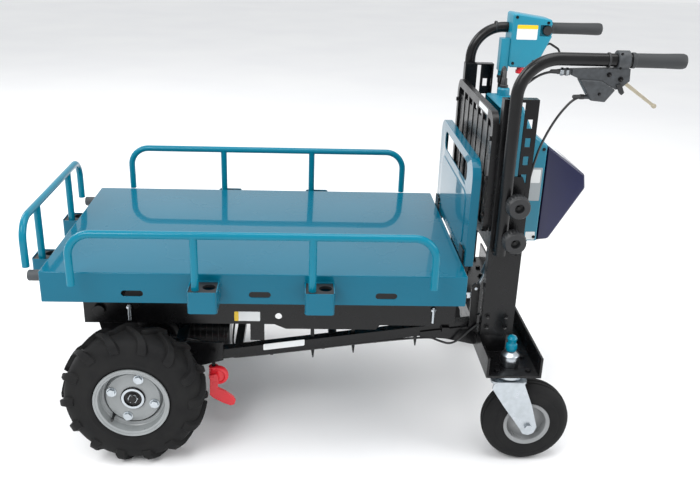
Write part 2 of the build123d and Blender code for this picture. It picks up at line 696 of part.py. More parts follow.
def grip(grip_start):
    """Rubber grip with a collar at the neck and a domed end."""
    body = rod_x(-handle_y, handle_z, grip_r, grip_start, grip_tip)
    body = fillet(body.edges().group_by(Axis.X)[-1], grip_r - 6)
    body += rod_x(-handle_y, handle_z, grip_r + 1.2, grip_start, grip_start + 9)
    return body - rod_x(-handle_y, handle_z, handle_od / 2, grip_start - 5, grip_end - 6)


def clamp_knob(z):
    """Hand knob on the stud that clamps the handle to the upright."""
    knob = rod_y(knob_x, z, knob_r, -knob_outer, -knob_inner)
    knob = fillet(knob.edges().group_by(Axis.Y)[0], 6)
    knob -= rod_y(knob_x, z, 9, -knob_outer - 1, -knob_outer + 12)
    stud = rod_y(knob_x, z, stud_od / 2, -knob_outer + 14, -upright_web + 12)
    nut = rod_y(knob_x, z, 9, -upright_web + 1.0, -upright_web + 9)
    return knob + stud + nut


# ---------------------------------------------------------------- brake lever set, left handle
lever_pin_x, lever_pin_z = 1364.0, 1006.0
lever_tip_x, lever_tip_z = 1456.0, 944.0
park_pin_x, park_pin_z = 1362.0, 990.0
clamp_x0, clamp_x1 = 1352.0, 1379.0


def brake_housing():
    """Lever bracket with its ring round the handle, the side cover and the adjuster."""
    y = -handle_y
    bracket = plate_xz([(1251, 1012), (1251, 1026), (1344, 1030), (1384, 1030), (1386, 1002), (1366, 984), (1356, 982),
                        (1322, 1002), (1269, 1005)], y - 11, y + 11, 1.5)
    ring = rod_x(y, handle_z, 22, clamp_x0, clamp_x1)
    ring += block(clamp_x0, clamp_x1, y - 9, y + 9, 1024, handle_z - 4)
    bracket += ring
    bracket -= rod_x(y, handle_z, handle_od / 2, 1200, 1420)
    bracket -= block(1346, 1400, y - 3.5, y + 3.5, 970, 1022)
    bracket += rod_y(lever_pin_x, lever_pin_z, 3, y - 11, y + 11)
    bracket -= rod_y(park_pin_x, park_pin_z, 2.5 + bearing_fit, y - 12, y - 5)
    cover = plate_xz([(1269, 1004.8), (1321, 1001.8), (1355, 981.5), (1334, 953), (1301, 956)], y - 16, y + 16, 3)
    cover = chamfer(cover.faces().filter_by(Axis.Y).edges(), 2.5)
    cover += rod_x(y, 962, 5, 1288, 1304)
    adjuster = rod_x(y, 1019, 6.5, 1228, 1251)
    adjuster += rod_x(y, 1019, 8, 1232, 1238)
    adjuster += rod_x(y, 1019, 8, 1242, 1248)
    return bracket, cover, adjuster


def brake_lever():
    y = -handle_y
    dx, dz = lever_tip_x - lever_pin_x, lever_tip_z - lever_pin_z
    length = (dx * dx + dz * dz) ** 0.5
    ux, uz = dx / length, dz / length
    half = 4.5

    def along(distance, side):
        return (lever_pin_x + ux * distance - uz * side, lever_pin_z + uz * distance + ux * side)

    blade = plate_xz([along(0, -half), along(length, 1 - half), along(length, half - 1), along(0, half)], y - 2, y + 2)
    root = rod_y(lever_pin_x, lever_pin_z, 9, y - 2, y + 2)
    ball = rod_y(lever_tip_x, lever_tip_z, 5.5, y - 3.5, y + 3.5)
    lever = blade + root + ball
    return lever - rod_y(lever_pin_x, lever_pin_z, 3 + bearing_fit, y - 10, y + 10)


def parking_lever():
    y = -handle_y - 11
    arm = plate_xz([(1355, 993), (1366, 997), (1376, 976), (1370, 970), (1364, 975)], y - 5, y - 0.5, 2)
    return arm + rod_y(park_pin_x, park_pin_z, 2.5, y - 0.5, y + 5)


# ---------------------------------------------------------------- control box, right handle
box_inner, box_outer = 238.0, 318.0
trigger_pin_x, trigger_pin_z = 1330.0, 992.0
stop_x, stop_hole_r = 1276.0, 11.4


def control_box():
    """Moulded box round the right handle with the cable entry beside it."""
    y0, y1 = box_inner, box_outer
    outline = [(1235, 940), (1235, 1093), (1348, 1077), (1356, 1036), (1325, 966), (1300, 940)]
    body = plate_xz(outline, y0, y1, 7)
    body = chamfer(body.faces().filter_by(Axis.Y).edges(), 3)
    recess = block(1316, 1362, y0 - 1, y0 + 14, 1030, 1062)
    body -= recess
    side = block(1209, 1236, y0 + 6, y0 + 44, 928, 1020)
    body += fillet(side.edges().filter_by(Axis.Z), 4)
    body += rod_z(1219, y0 + 24, 9, 912, 928)
    body -= rod_x(handle_y, handle_z, handle_od / 2, 1100, 1400)
    body -= block(1322, 1360, handle_y - 5, handle_y + 5, 960, 1012)
    body += rod_y(trigger_pin_x, trigger_pin_z, 3, handle_y - 8, handle_y + 8)
    body -= rod_z(stop_x, y0 + 22, stop_hole_r, 939, 960)
    return body


def drive_trigger():
    """Wire loop that is squeezed up towards the grip."""
    x0, z0 = trigger_pin_x, trigger_pin_z
    y = handle_y
    loop = pipe([(x0 + 12, y, z0 - 2), (x0 + 34, y, z0 + 12), (x0 + 62, y, z0 - 4), (x0 + 78, y, z0 - 34)],
                [10, 14], 3.2)
    root = rod_y(x0, z0, 8, y - 4, y + 4)
    arm = block(x0, x0 + 16, y - 3.5, y + 3.5, z0 - 6, z0 + 3)
    return loop + root + arm - rod_y(x0, z0, 3 + bearing_fit, y - 10, y + 10)


def stop_button():
    x, y = stop_x, box_inner + 22
    stem = rod_z(x, y, 11, 928, 952)
    head = rod_z(x, y, 14, 920, 930)
    head = fillet(head.edges().group_by(Axis.Z)[0], 3)
    return stem + head


# ---------------------------------------------------------------- small levers
def clutch_lever():
    """Red lever that frees the gearbox, swung about a vertical pin."""
    x, y = 401.0, -tube_y
    barrel = rod_z(x, y, 13, 152, 184)
    blade = plate_xz([(388, 184), (430, 186), (440, 168), (436, 132), (424, 118), (408, 118), (388, 152)],
                     y - 17, y - 13.2, 4)
    neck = block(393, 409, y - 17, y - 8, 154, 182)
    toe = plate_xz([(398, 140), (424, 132), (420, 112), (450, 92), (458, 82), (452, 72), (436, 76), (398, 98)],
                   y - 23, y - 17, 3)
    lever = barrel + blade + neck + toe
    return lever - rod_z(x, y, 5 + bearing_fit, 140, 200)


def dump_latch():
    """Sprung latch handle behind the deck with its teal knob."""
    x, z = 1096.0, 442.0
    tooth_x = catch_x + catch_r + 0.6
    plate = plate_xz([(tooth_x, z - 25), (tooth_x + 4, z - 30), (x + 4, z - 28), (x + 12, z), (x + 12, z + 12),
                      (x - 4, z + 12), (x - 10, z - 14), (tooth_x, z - 14)], -228.4, -223.4, 1.5)
    rod = pipe([(x + 6, -225.9, z + 6), (x + 22, -225.9, z + 44)], 0, 4)
    knob = pipe([(x + 20, -225.9, z + 38), (x + 30, -225.9, z + 76)], 0, 11)
    knob = fillet(knob.edges().filter_by(GeomType.CIRCLE), 4)
    pin = rod_y(x, z, 4, -234.9, -228.4)
    return plate + rod + knob + pin


# ---------------------------------------------------------------- cables
cable_r = 3.0
power_cable_r = 5.5


def under_tube(x):
    """Height of a cable clipped below a chassis tube."""
    return tube_z(x) - tube_size / 2 - 2 * cable_r + 0.8


def brake_cable_upper():
    """From the adjuster, into the left upright, down it and under the tube to the left drum."""
    return [(1228, -295.5, 1019), (1206, -295.5, 1019), (1178, -294, 1010), (1156, -288, 990), (1138, -270, 966),
            (1131, -257, 928), (1131, -257, 420), (1130, -252, 378), (1122, -242, 352), (1098, -241, 334),
            (1070, -239, 302), (1044, -228, 274), (1014, -211, 275), (980, -206.2, under_tube(980)),
            (484, -206.2, under_tube(484)), (440, -180, 202), (380, -112, 208), (316, -95, 220), (270, -95, 220)]


def brake_cable_lower():
    """From the cover, behind the left upright and under the tube to the right drum."""
    return [(1288, -295.5, 962), (1270, -295.5, 962), (1242, -290, 926), (1222, -280, 882), (1208, -266, 832),
            (1203, -250, 784), (1199, -238, 734), (1192, -232, 676), (1184, -232, 600), (1180, -232, 430),
            (1168, -222, 384), (1142, -200, 357), (1112, -179, 341), (1078, -176, 312), (1042, -184, 292),
            (1004, -193.5, under_tube(1004)), (500, -194, under_tube(500)), (450, -150, 214), (446, -90, 226),
            (444, 20, 234), (420, 88, 226), (350, 95, 220), (270, 95, 220)]


def control_cable():
    """From the boss on the housing to the entry under the control box."""
    return [(boss_x, boss_y, boss_high), (boss_x, boss_y, 938), (1189, 84, 962), (1196, 132, 956), (1203, 176, 914),
            (1210, 214, 870), (1216, 248, 858), (1219, 262, 882), (1219, 262, 912)]


def cable(route, radius, slack=0.45):
    """Tube along straight runs joined by the largest arcs that fit."""
    radii = []
    points = [Vector(*point) for point in route]
    for before, here, after in zip(points, points[1:], points[2:]):
        turn = (here - before).get_angle(after - here)
        shorter = min((here - before).length, (after - here).length)
        radii.append(slack * shorter / tan(radians(turn / 2)))
    path = FilletPolyline(*route, radius=radii)
    start = Plane(origin=path @ 0, z_dir=path % 0)
    tube = sweep(start * Circle(radius), path=path)
    print("cable", "length %.0f" % path.length, "volume ratio %.4f" % (tube.volume / (Circle(radius).area * path.length)),
          "radii", [round(r) for r in radii])
    return tube


def main():
    os.makedirs("parts", exist_ok=True)
    save("deck_tray", deck_tray())
    save("deck_subframe", deck_subframe())
    shell_part, insert_part = socket_shell(), socket_insert()
    left_shells = [shell_part.moved(place) for place in side_socket_places()]
    left_inserts = [insert_part.moved(place) for place in side_socket_places()]
    save("rail_sockets_left", *left_shells)
    save("rail_sockets_right", *[other_side(shape) for shape in left_shells])
    save("rail_sockets_front", *front_pair(shell_part))
    save("socket_inserts", *left_inserts, *[other_side(shape) for shape in left_inserts], *front_pair(insert_part))
    save("headboard", headboard())
    save("headboard_brackets", *headboard_brackets())
    save("deck_bumpers", *deck_bumpers())
    left_rail = side_rail()
    save("side_rail_left", left_rail)
    save("side_rail_right", other_side(left_rail))
    save("front_rail", front_rail())
    save("chassis_frame", chassis_frame())
    save("axle_cradle", axle_cradle())
    save("dump_pivot_shaft", dump_pivot_shaft())
    save("transaxle_housing", transaxle_housing())
    save("drive_motor", drive_motor())
    save("rear_cross_beam", rear_cross_beam())
    post = upright()
    save("upright_left", post)
    save("upright_right", other_side(post))
    save("guard", guard())
    save("main_housing", main_housing())
    save("housing_back", housing_back())
    save("battery_packs", *battery_packs())
    save("battery_cover", battery_cover())
    save("caster_plates", *caster_plates())
    save("frame_bolts", *frame_bolts())
    for name, make in (("drive_tyre", drive_tyre), ("drive_rim", drive_rim), ("drive_hub", drive_hub),
                       ("caster_fork", caster_fork), ("caster_tyre", caster_tyre), ("caster_rim", caster_rim),
                       ("caster_lock_knob", caster_lock_knob), ("handle_tube", handle_tube)):
        shape = make()
        save(name + "_left", shape)
        save(name + "_right", other_side(shape))
    save("grip_left", grip(grip_start_left))
    save("grip_right", other_side(grip(grip_start_right)))
    for name, z in (("upper", knob_upper_z), ("lower", knob_upper_z - knob_pitch)):
        knob = clamp_knob(z)
        save(f"clamp_knob_{name}_left", knob)
        save(f"clamp_knob_{name}_right", other_side(knob))
    save("brake_housing", *brake_housing())
    save("brake_lever", brake_lever())
    save("parking_lever", parking_lever())
    save("control_box", control_box())
    save("drive_trigger", drive_trigger())
    save("stop_button", stop_button())
    save("clutch_lever", clutch_lever())
    save("dump_latch", dump_latch())
    save("brake_cable_upper", cable(brake_cable_upper(), cable_r))
    save("brake_cable_lower", cable(brake_cable_lower(), cable_r))
    save("control_cable", cable(control_cable(), power_cable_r))


main()
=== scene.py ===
"""Finishes and fine pieces of a battery powered wheelbarrow with a flat dump deck."""
import json
import math

import bmesh
import bpy
from bpy.props import FloatProperty, FloatVectorProperty, IntProperty, PointerProperty
from mathutils import Matrix, Vector


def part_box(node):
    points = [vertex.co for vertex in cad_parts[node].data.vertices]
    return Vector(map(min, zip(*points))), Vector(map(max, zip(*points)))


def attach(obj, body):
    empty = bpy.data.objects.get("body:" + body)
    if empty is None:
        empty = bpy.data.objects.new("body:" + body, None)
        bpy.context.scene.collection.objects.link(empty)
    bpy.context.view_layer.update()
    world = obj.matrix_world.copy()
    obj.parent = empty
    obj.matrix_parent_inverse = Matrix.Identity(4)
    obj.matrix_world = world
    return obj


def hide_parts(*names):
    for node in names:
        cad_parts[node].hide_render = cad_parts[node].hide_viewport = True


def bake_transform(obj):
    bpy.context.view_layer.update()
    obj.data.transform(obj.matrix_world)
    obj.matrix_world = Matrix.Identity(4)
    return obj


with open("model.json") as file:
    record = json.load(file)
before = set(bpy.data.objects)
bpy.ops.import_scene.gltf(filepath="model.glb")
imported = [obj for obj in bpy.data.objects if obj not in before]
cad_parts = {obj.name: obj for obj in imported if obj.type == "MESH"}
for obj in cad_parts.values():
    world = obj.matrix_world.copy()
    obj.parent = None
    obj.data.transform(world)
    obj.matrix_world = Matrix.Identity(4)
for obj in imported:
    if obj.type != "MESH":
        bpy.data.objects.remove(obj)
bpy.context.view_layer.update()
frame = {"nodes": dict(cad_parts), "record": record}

bl_info = {
    "name": "Power wheelbarrow",
    "version": (1, 0, 0),
    "blender": (4, 5, 0),
    "location": "View3D > Sidebar > Wheelbarrow",
    "description": "Builds the finishes and the fine pieces of a power wheelbarrow",
    "category": "Object",
}

MM = 0.001
RECORD = frame["record"]
BODY_OF = {node: body for body, nodes in RECORD["behaviour"]["bodies"].items() for node in nodes}
SLOT_OF = {part["node"]: part["material_slot"] for part in RECORD["subparts"]}
DECK_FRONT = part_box("deck_tray")[0][0]
SIDES = {"left": -1, "right": 1}
HANDLE_Y, HANDLE_Z, HANDLE_R = 295.5, 1047.5, 15.1
CHASSIS_RISE, CHASSIS_RUN, CHASSIS_START, CHASSIS_LOW = 115.0, 806.0, 300.0, 211.0


def at(x, y, z):
    """A place in millimetres from the deck's front edge, the middle and the floor."""
    return Vector((DECK_FRONT + x * MM, y * MM, z * MM))


def low(node):
    return Vector(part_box(node)[0])


def high(node):
    return Vector(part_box(node)[1])


def middle(node):
    return (low(node) + high(node)) / 2


def linear(hex_colour):
    """sRGB hex to the linear values that shaders read."""
    parts = [int(hex_colour[i:i + 2], 16) / 255 for i in (1, 3, 5)]
    return [part / 12.92 if part <= 0.04045 else ((part + 0.055) / 1.055) ** 2.4 for part in parts]


# ------------------------------------------------------------------ sizes and colours
class WheelbarrowSizes(bpy.types.PropertyGroup):
    lug_height: FloatProperty(name="Lug height", description="How far the tread lugs stand out",
                              default=0.0115, min=0.004, max=0.016, unit="LENGTH")
    lugs_a_side: IntProperty(name="Lugs a side", description="Tread lugs on each half of a drive tyre",
                             default=14, min=8, max=20)
    knob_flutes: IntProperty(name="Knob flutes", description="Grip flutes round a clamp knob",
                             default=26, min=8, max=40)
    soft_edge: FloatProperty(name="Soft edge", description="Rounding of the pressed and welded edges",
                             default=0.0011, min=0.0, max=0.003, unit="LENGTH")
    label_lift: FloatProperty(name="Label thickness", description="How far a label stands off its panel",
                              default=0.0004, min=0.0001, max=0.001, unit="LENGTH")


class WheelbarrowColours(bpy.types.PropertyGroup):
    deck: FloatVectorProperty(name="Deck", description="Powder coat of the deck", subtype="COLOR",
                              size=3, min=0, max=1, default=linear("#045e76"))
    rails: FloatVectorProperty(name="Rails", description="Powder coat of the rails", subtype="COLOR",
                               size=3, min=0, max=1, default=linear("#027088"))
    housing: FloatVectorProperty(name="Housing", description="Moulded power housing", subtype="COLOR",
                                 size=3, min=0, max=1, default=linear("#057189"))
    control_box: FloatVectorProperty(name="Control box", description="Moulded control box", subtype="COLOR",
                                     size=3, min=0, max=1, default=linear("#0b7f98"))
    cover: FloatVectorProperty(name="Battery cover", description="Smoky battery cover", subtype="COLOR",
                               size=3, min=0, max=1, default=linear("#15183a"))
    frame: FloatVectorProperty(name="Frame", description="Satin black coat of the chassis", subtype="COLOR",
                               size=3, min=0, max=1, default=linear("#0a0a0b"))
    warning_red: FloatVectorProperty(name="Red parts", description="Clutch lever and stop button",
                                     subtype="COLOR", size=3, min=0, max=1, default=linear("#e22733"))


def sizes():
    return bpy.context.scene.wheelbarrow_sizes


def colours():
    return bpy.context.scene.wheelbarrow_colours


# ------------------------------------------------------------------ finishes
def add(tree, kind, values=None, links=None, **settings):
    """Adds one shader node with its settings, socket values and links."""
    made = tree.nodes.new(kind)
    for name, value in settings.items():
        setattr(made, name, value)
    for name, value in (values or {}).items():
        made.inputs[name].default_value = value
    for name, source in (links or {}).items():
        tree.links.new(source, made.inputs[name])
    return made


def rgba(colour):
    return (*colour, 1.0)


def shade(colour, share):
    """The same colour, lighter or darker."""
    return [min(1.0, part * share) for part in colour]


def skin(name, colour, second, patch, rough, spread, grain, depth, **shader):
    """A material whose tone and gloss drift over patch mm, with a grain of that size and depth in mm."""
    material = bpy.data.materials.new(name + "_finish")
    material.use_nodes = True
    tree = material.node_tree
    tree.nodes.clear()
    place = add(tree, "ShaderNodeTexCoord")
    drift = add(tree, "ShaderNodeTexNoise", {"Scale": 1 / (patch * MM), "Detail": 3.0},
                {"Vector": place.outputs["Object"]})
    share = add(tree, "ShaderNodeMapRange", {"From Min": 0.32, "From Max": 0.68},
                {"Value": drift.outputs["Fac"]})
    tone = add(tree, "ShaderNodeMix", {6: rgba(colour), 7: rgba(second)}, {0: share.outputs["Result"]},
               data_type="RGBA")
    gloss = add(tree, "ShaderNodeMapRange", {"To Min": rough - spread, "To Max": rough + spread,
                                             "From Min": 0.3, "From Max": 0.7},
                {"Value": drift.outputs["Fac"]})
    pores = add(tree, "ShaderNodeTexNoise", {"Scale": 1 / (grain * MM), "Detail": 2.0},
                {"Vector": place.outputs["Object"]})
    bump = add(tree, "ShaderNodeBump", {"Strength": 1.0, "Distance": depth * MM},
               {"Height": pores.outputs["Fac"]})
    surface = add(tree, "ShaderNodeBsdfPrincipled", shader,
                  {"Base Color": tone.outputs[2], "Roughness": gloss.outputs["Result"],
                   "Normal": bump.outputs["Normal"]})
    add(tree, "ShaderNodeOutputMaterial", None, {"Surface": surface.outputs["BSDF"]})
    return material


def powder_coat(name, colour):
    """Baked gloss powder on sheet steel: deep colour, a faint orange peel and clear soft reflections."""
    return skin(name, colour, shade(colour, 0.94), 190, 0.27, 0.03, 2.6, 0.012, IOR=1.5,
                **{"Specular IOR Level": 0.04, "Coat Weight": 0.9, "Coat Roughness": 0.03, "Coat IOR": 1.3})


def black_coat(name, colour):
    """Satin black powder: a low sheen broken by a fine sandy texture and a little dust."""
    return skin(name, colour, shade(colour, 1.9), 70, 0.26, 0.05, 1.3, 0.03, IOR=1.5,
                **{"Specular IOR Level": 0.28})


def zinc_plate(name):
    """Bright zinc on pressed steel: cool metal with cloudy patches and fine rolling marks."""
    return skin(name, linear("#b4babf"), linear("#aab0b4"), 16, 0.3, 0.035, 1.1, 0.014, Metallic=1.0)


def plain_steel(name):
    """Drawn steel lever with a thin lacquer: warm grey metal, even satin."""
    return skin(name, linear("#c9c0ac"), linear("#b2a994"), 22, 0.32, 0.05, 0.9, 0.01, Metallic=1.0)


def enamel(name, colour):
    """Stoved enamel on a pressed rim: pale, smooth and half gloss with a trace of road dust."""
    return skin(name, colour, shade(colour, 0.84), 55, 0.34, 0.08, 2.0, 0.03, IOR=1.5,
                **{"Coat Weight": 0.25, "Coat Roughness": 0.2})


def carbon_rubber(name):
    """Vulcanised carbon black rubber: matt, with mould haze and pale dust in broad patches."""
    return skin(name, linear("#141415"), linear("#1f1f1f"), 42, 0.7, 0.1, 1.4, 0.11, IOR=1.52,
                **{"Specular IOR Level": 0.14})


def soft_grip_rubber(name, colour):
    """Thermoplastic rubber grip: even dark grey, dull, with a leathery moulded grain."""
    return skin(name, colour, shade(colour, 1.25), 30, 0.62, 0.06, 1.7, 0.14, IOR=1.5)


def moulded_abs(name, colour, rough=0.34, depth=0.03):
    """Injection moulded ABS: clean colour with a fine spark eroded grain, drawn coarse enough to show."""
    return skin(name, colour, shade(colour, 0.94), 120, rough, 0.04, 1.2, depth, IOR=1.53)


def polished_abs(name, colour):
    """Polished smoky ABS cover: very smooth, near black navy with sharp soft-box reflections."""
    return skin(name, colour, shade(colour, 1.25), 160, 0.2, 0.03, 6.0, 0.01, IOR=1.5,
                **{"Specular IOR Level": 0.25, "Coat Weight": 0.6, "Coat Roughness": 0.05, "Coat IOR": 1.35})


def glass_nylon(name, colour):
    """Glass filled nylon: dark, dull and slightly mottled where the fibres reach the surface."""
    return skin(name, colour, shade(colour, 1.7), 9, 0.5, 0.06, 0.8, 0.06, IOR=1.53)


def vinyl(name, colour):
    """Printed vinyl label with its laminate: flat colour and a smooth, slightly glossy film."""
    return skin(name, colour, shade(colour, 0.97), 60, 0.3, 0.03, 3.0, 0.008, IOR=1.5)


FINISHED = {}


def finish(slot):
    """The material that stands for a slot of the record or for one of the labels."""
    if slot in FINISHED:
        return FINISHED[slot]
    tint = colours()
    frame_black = list(tint.frame)
    makers = {
        "deck_paint": lambda: powder_coat(slot, list(tint.deck)),
        "rail_paint": lambda: powder_coat(slot, list(tint.rails)),
        "black_paint": lambda: black_coat(slot, frame_black),
        "gear_case": lambda: black_coat(slot, shade(frame_black, 1.3)),
        "zinc": lambda: zinc_plate(slot),
        "rim_paint": lambda: enamel(slot, linear("#8b8f90")),
        "caster_rim_paint": lambda: enamel(slot, linear("#8a8c8d")),
        "tyre": lambda: carbon_rubber(slot),
        "socket_plastic": lambda: glass_nylon(slot, linear("#141517")),
        "housing_plastic": lambda: moulded_abs(slot, list(tint.housing)),
        "control_plastic": lambda: moulded_abs(slot, list(tint.control_box)),
        "smoky_plastic": lambda: polished_abs(slot, list(tint.cover)),
        "battery_case": lambda: glass_nylon(slot, linear("#1d1f22")),
        "grip_rubber": lambda: soft_grip_rubber(slot, linear("#26282a")),
        "knob_plastic": lambda: glass_nylon(slot, linear("#121315")),
        "brake_plastic": lambda: glass_nylon(slot, linear("#2a2d30")),
        "red_plastic": lambda: moulded_abs(slot, list(tint.warning_red), 0.28, 0.02),
        "lever_steel": lambda: plain_steel(slot),
        "bumper_rubber": lambda: soft_grip_rubber(slot, linear("#3c3f42")),
        "cable_sleeve": lambda: moulded_abs(slot, linear("#0e0f11"), 0.4, 0.02),
        "label_white": lambda: vinyl(slot, linear("#dfe2e2")),
        "label_grey": lambda: vinyl(slot, linear("#9aa1a4")),
        "label_yellow": lambda: vinyl(slot, linear("#e8c11f")),
    }
    FINISHED[slot] = makers[slot]()
    return FINISHED[slot]


# ------------------------------------------------------------------ mesh helpers
def rod(bm, start, end, radius, tip=None, sides=32):
    """Adds a closed round bar or cone from start to end."""
    run = end - start
    place = Matrix.Translation((start + end) / 2) @ run.to_track_quat("Z", "Y").to_matrix().to_4x4()
    return bmesh.ops.create_cone(bm, cap_ends=True, segments=sides, radius1=radius,
                                 radius2=radius if tip is None else tip, depth=run.length,
                                 matrix=place)["verts"]


def lathe(bm, profile, centre, axis, steps=72, closed=False):
    """Spins a profile of (radius, distance along the axis) in millimetres."""
    axis = Vector(axis).normalized()
    out = axis.orthogonal().normalized()
    verts = [bm.verts.new(centre + out * (radius * MM) + axis * (along * MM)) for radius, along in profile]
    pairs = list(zip(verts, verts[1:])) + ([(verts[-1], verts[0])] if closed else [])
    edges = [bm.edges.new(pair) for pair in pairs]
    bmesh.ops.spin(bm, geom=verts + edges, cent=centre, axis=axis, angle=2 * math.pi, steps=steps,
                   use_merge=True)


def prism(bm, outline, depth):
    """Extrudes a closed outline of points by a vector."""
    face = bm.faces.new([bm.verts.new(point) for point in outline])
    grown = bmesh.ops.extrude_face_region(bm, geom=[face])["geom"]
    moved = [item for item in grown if isinstance(item, bmesh.types.BMVert)]
    bmesh.ops.translate(bm, vec=depth, verts=moved)


def screw(bm, place, out, radius, hexagon=True):
    """A washer head screw with a socket, its head standing out from place."""
    out = Vector(out).normalized()
    rod(bm, place, place + out * radius * 0.3, radius * 1.35, sides=28)
    verts = rod(bm, place + out * radius * 0.3, place + out * radius * 1.0, radius, radius * 0.86,
                6 if hexagon else 24)
    top = max({face for vert in verts for face in vert.link_faces},
              key=lambda face: face.calc_center_median().dot(out))
    bmesh.ops.inset_region(bm, faces=[top], thickness=radius * 0.42)
    bmesh.ops.translate(bm, vec=-out * radius * 0.4, verts=list(top.verts))


def piece(name, bm, body, slot, edge=0.0, smooth=38.0, turn=True):
    """Turns a bmesh into a finished object that rides on a body."""
    bmesh.ops.remove_doubles(bm, verts=bm.verts, dist=1e-6)
    if turn:
        bmesh.ops.recalc_face_normals(bm, faces=bm.faces)
    mesh = bpy.data.meshes.new(name)
    bm.to_mesh(mesh)
    bm.free()
    mesh.shade_smooth()
    mesh.set_sharp_from_angle(angle=math.radians(smooth))
    made = bpy.data.objects.new(name, mesh)
    bpy.context.scene.collection.objects.link(made)
    made.data.materials.append(finish(slot))
    if edge:
        rounding = made.modifiers.new("soft edges", "BEVEL")
        rounding.width = edge
        rounding.segments = 2
        rounding.limit_method = "ANGLE"
        rounding.angle_limit = math.radians(34)
        rounding.harden_normals = True
    if body:
        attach(made, body)
    return made


def softened(node, edge):
    """A copy of a CAD node with its edges rounded, in place of the sharp one."""
    bm = bmesh.new()
    bm.from_mesh(frame["nodes"][node].data)
    bmesh.ops.remove_doubles(bm, verts=bm.verts, dist=2e-6)
    bmesh.ops.dissolve_limit(bm, angle_limit=math.radians(0.5), verts=bm.verts, edges=bm.edges)
    made = piece(node + "_finished", bm, BODY_OF[node], SLOT_OF[node], edge, turn=False)
    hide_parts(node)
    return made


def label(name, corners, lift, body, slot):
    """A thin rounded label on a panel, given by its corners in order and its outward lift."""
    bm = bmesh.new()
    prism(bm, corners, lift)
    rims = [edge for edge in bm.edges if abs((edge.verts[0].co - edge.verts[1].co).normalized()
                                             .dot(lift.normalized())) > 0.9]
    bmesh.ops.bevel(bm, geom=rims, offset=2.5 * MM, segments=4, profile=0.5, affect="EDGES", material=-1)
    return piece(name, bm, body, slot)


# ------------------------------------------------------------------ stage
YAW, PITCH, ROLL = (math.radians(angle) for angle in (-2.2, -22.2, 1.6))
EYE = at(642.0, -2200.5, 1332.4)
LENS, SHIFT = 42.64, (0.0249, 0.0214)
SOFT_BOXES = (
    ("key_light", (-1.8, -2.4, 3.0), 1.8, 74.0),
    ("top_light", (0.3, -0.4, 3.6), 2.4, 66.0),
    ("side_light", (3.0, -1.2, 1.9), 1.6, 36.0),
    ("floor_light", (-3.4, 2.0, 3.4), 2.4, 90.0),
)


class WHEELBARROW_OT_stage(bpy.types.Operator):
    """Adds the floor, the soft boxes and the camera."""
    bl_idname = "wheelbarrow.stage"
    bl_label = "Stage"

    def execute(self, context):
        scene = context.scene
        scene.view_settings.view_transform = "Standard"
        bm = bmesh.new()
        bmesh.ops.create_grid(bm, x_segments=1, y_segments=1, size=14)
        mesh = bpy.data.meshes.new("floor")
        bm.to_mesh(mesh)
        bm.free()
        floor = bpy.data.objects.new("floor", mesh)
        floor.data.materials.append(skin("floor_paper", linear("#f7f7f7"), linear("#f3f3f4"), 900,
                                         0.62, 0.04, 8.0, 0.01))
        scene.collection.objects.link(floor)
        target = at(600, 0, 420)
        for name, place, size, power in SOFT_BOXES:
            lamp = bpy.data.lights.new(name, "AREA")
            lamp.shape = "SQUARE"
            lamp.size = size
            lamp.energy = power
            box = bpy.data.objects.new(name, lamp)
            box.location = place
            box.rotation_euler = (target - Vector(place)).to_track_quat("-Z", "Y").to_euler()
            scene.collection.objects.link(box)
        world = bpy.data.worlds.new("studio")
        world.use_nodes = True
        world.node_tree.nodes["Background"].inputs["Color"].default_value = (0.97, 0.985, 1.0, 1)
        world.node_tree.nodes["Background"].inputs["Strength"].default_value = 0.84
        scene.world = world
        ahead = Vector((-math.sin(YAW) * math.cos(PITCH), math.cos(YAW) * math.cos(PITCH), math.sin(PITCH)))
        level = Vector((math.cos(YAW), math.sin(YAW), 0))
        upward = level.cross(ahead)
        right = level * math.cos(ROLL) + upward * math.sin(ROLL)
        top = upward * math.cos(ROLL) - level * math.sin(ROLL)
        lens = bpy.data.cameras.new("studio_camera")
        lens.lens = LENS
        lens.shift_x, lens.shift_y = SHIFT
        camera = bpy.data.objects.new("studio_camera", lens)
        camera.matrix_world = Matrix.Translation(EYE) @ Matrix((right, top, -ahead)).transposed().to_4x4()
        scene.collection.objects.link(camera)
        scene.camera = camera
        return {"FINISHED"}


# ------------------------------------------------------------------ frame, deck and rails
OWN_SHAPES = {"clutch_lever", "drive_tyre_left", "drive_tyre_right", "caster_tyre_left", "caster_tyre_right",
              "brake_cable_upper", "brake_cable_lower", "control_cable",
              "clamp_knob_upper_left", "clamp_knob_upper_right", "clamp_knob_lower_left",
              "clamp_knob_lower_right", "grip_left", "grip_right"}
FINE_NODES = {"brake_lever", "parking_lever", "drive_trigger", "dump_latch", "stop_button", "frame_bolts",
              "caster_lock_knob_left", "caster_lock_knob_right", "brake_housing"}
THIN_EDGE = 0.0005


class WHEELBARROW_OT_bodywork(bpy.types.Operator):
    """Gives every made part of the frame, deck and covers its rounded edges and its finish."""
    bl_idname = "wheelbarrow.bodywork"
    bl_label = "Bodywork"

    def execute(self, context):
        for node in sorted(frame["nodes"]):
            if node not in OWN_SHAPES:
                softened(node, THIN_EDGE if node in FINE_NODES else sizes().soft_edge)
        return {"FINISHED"}


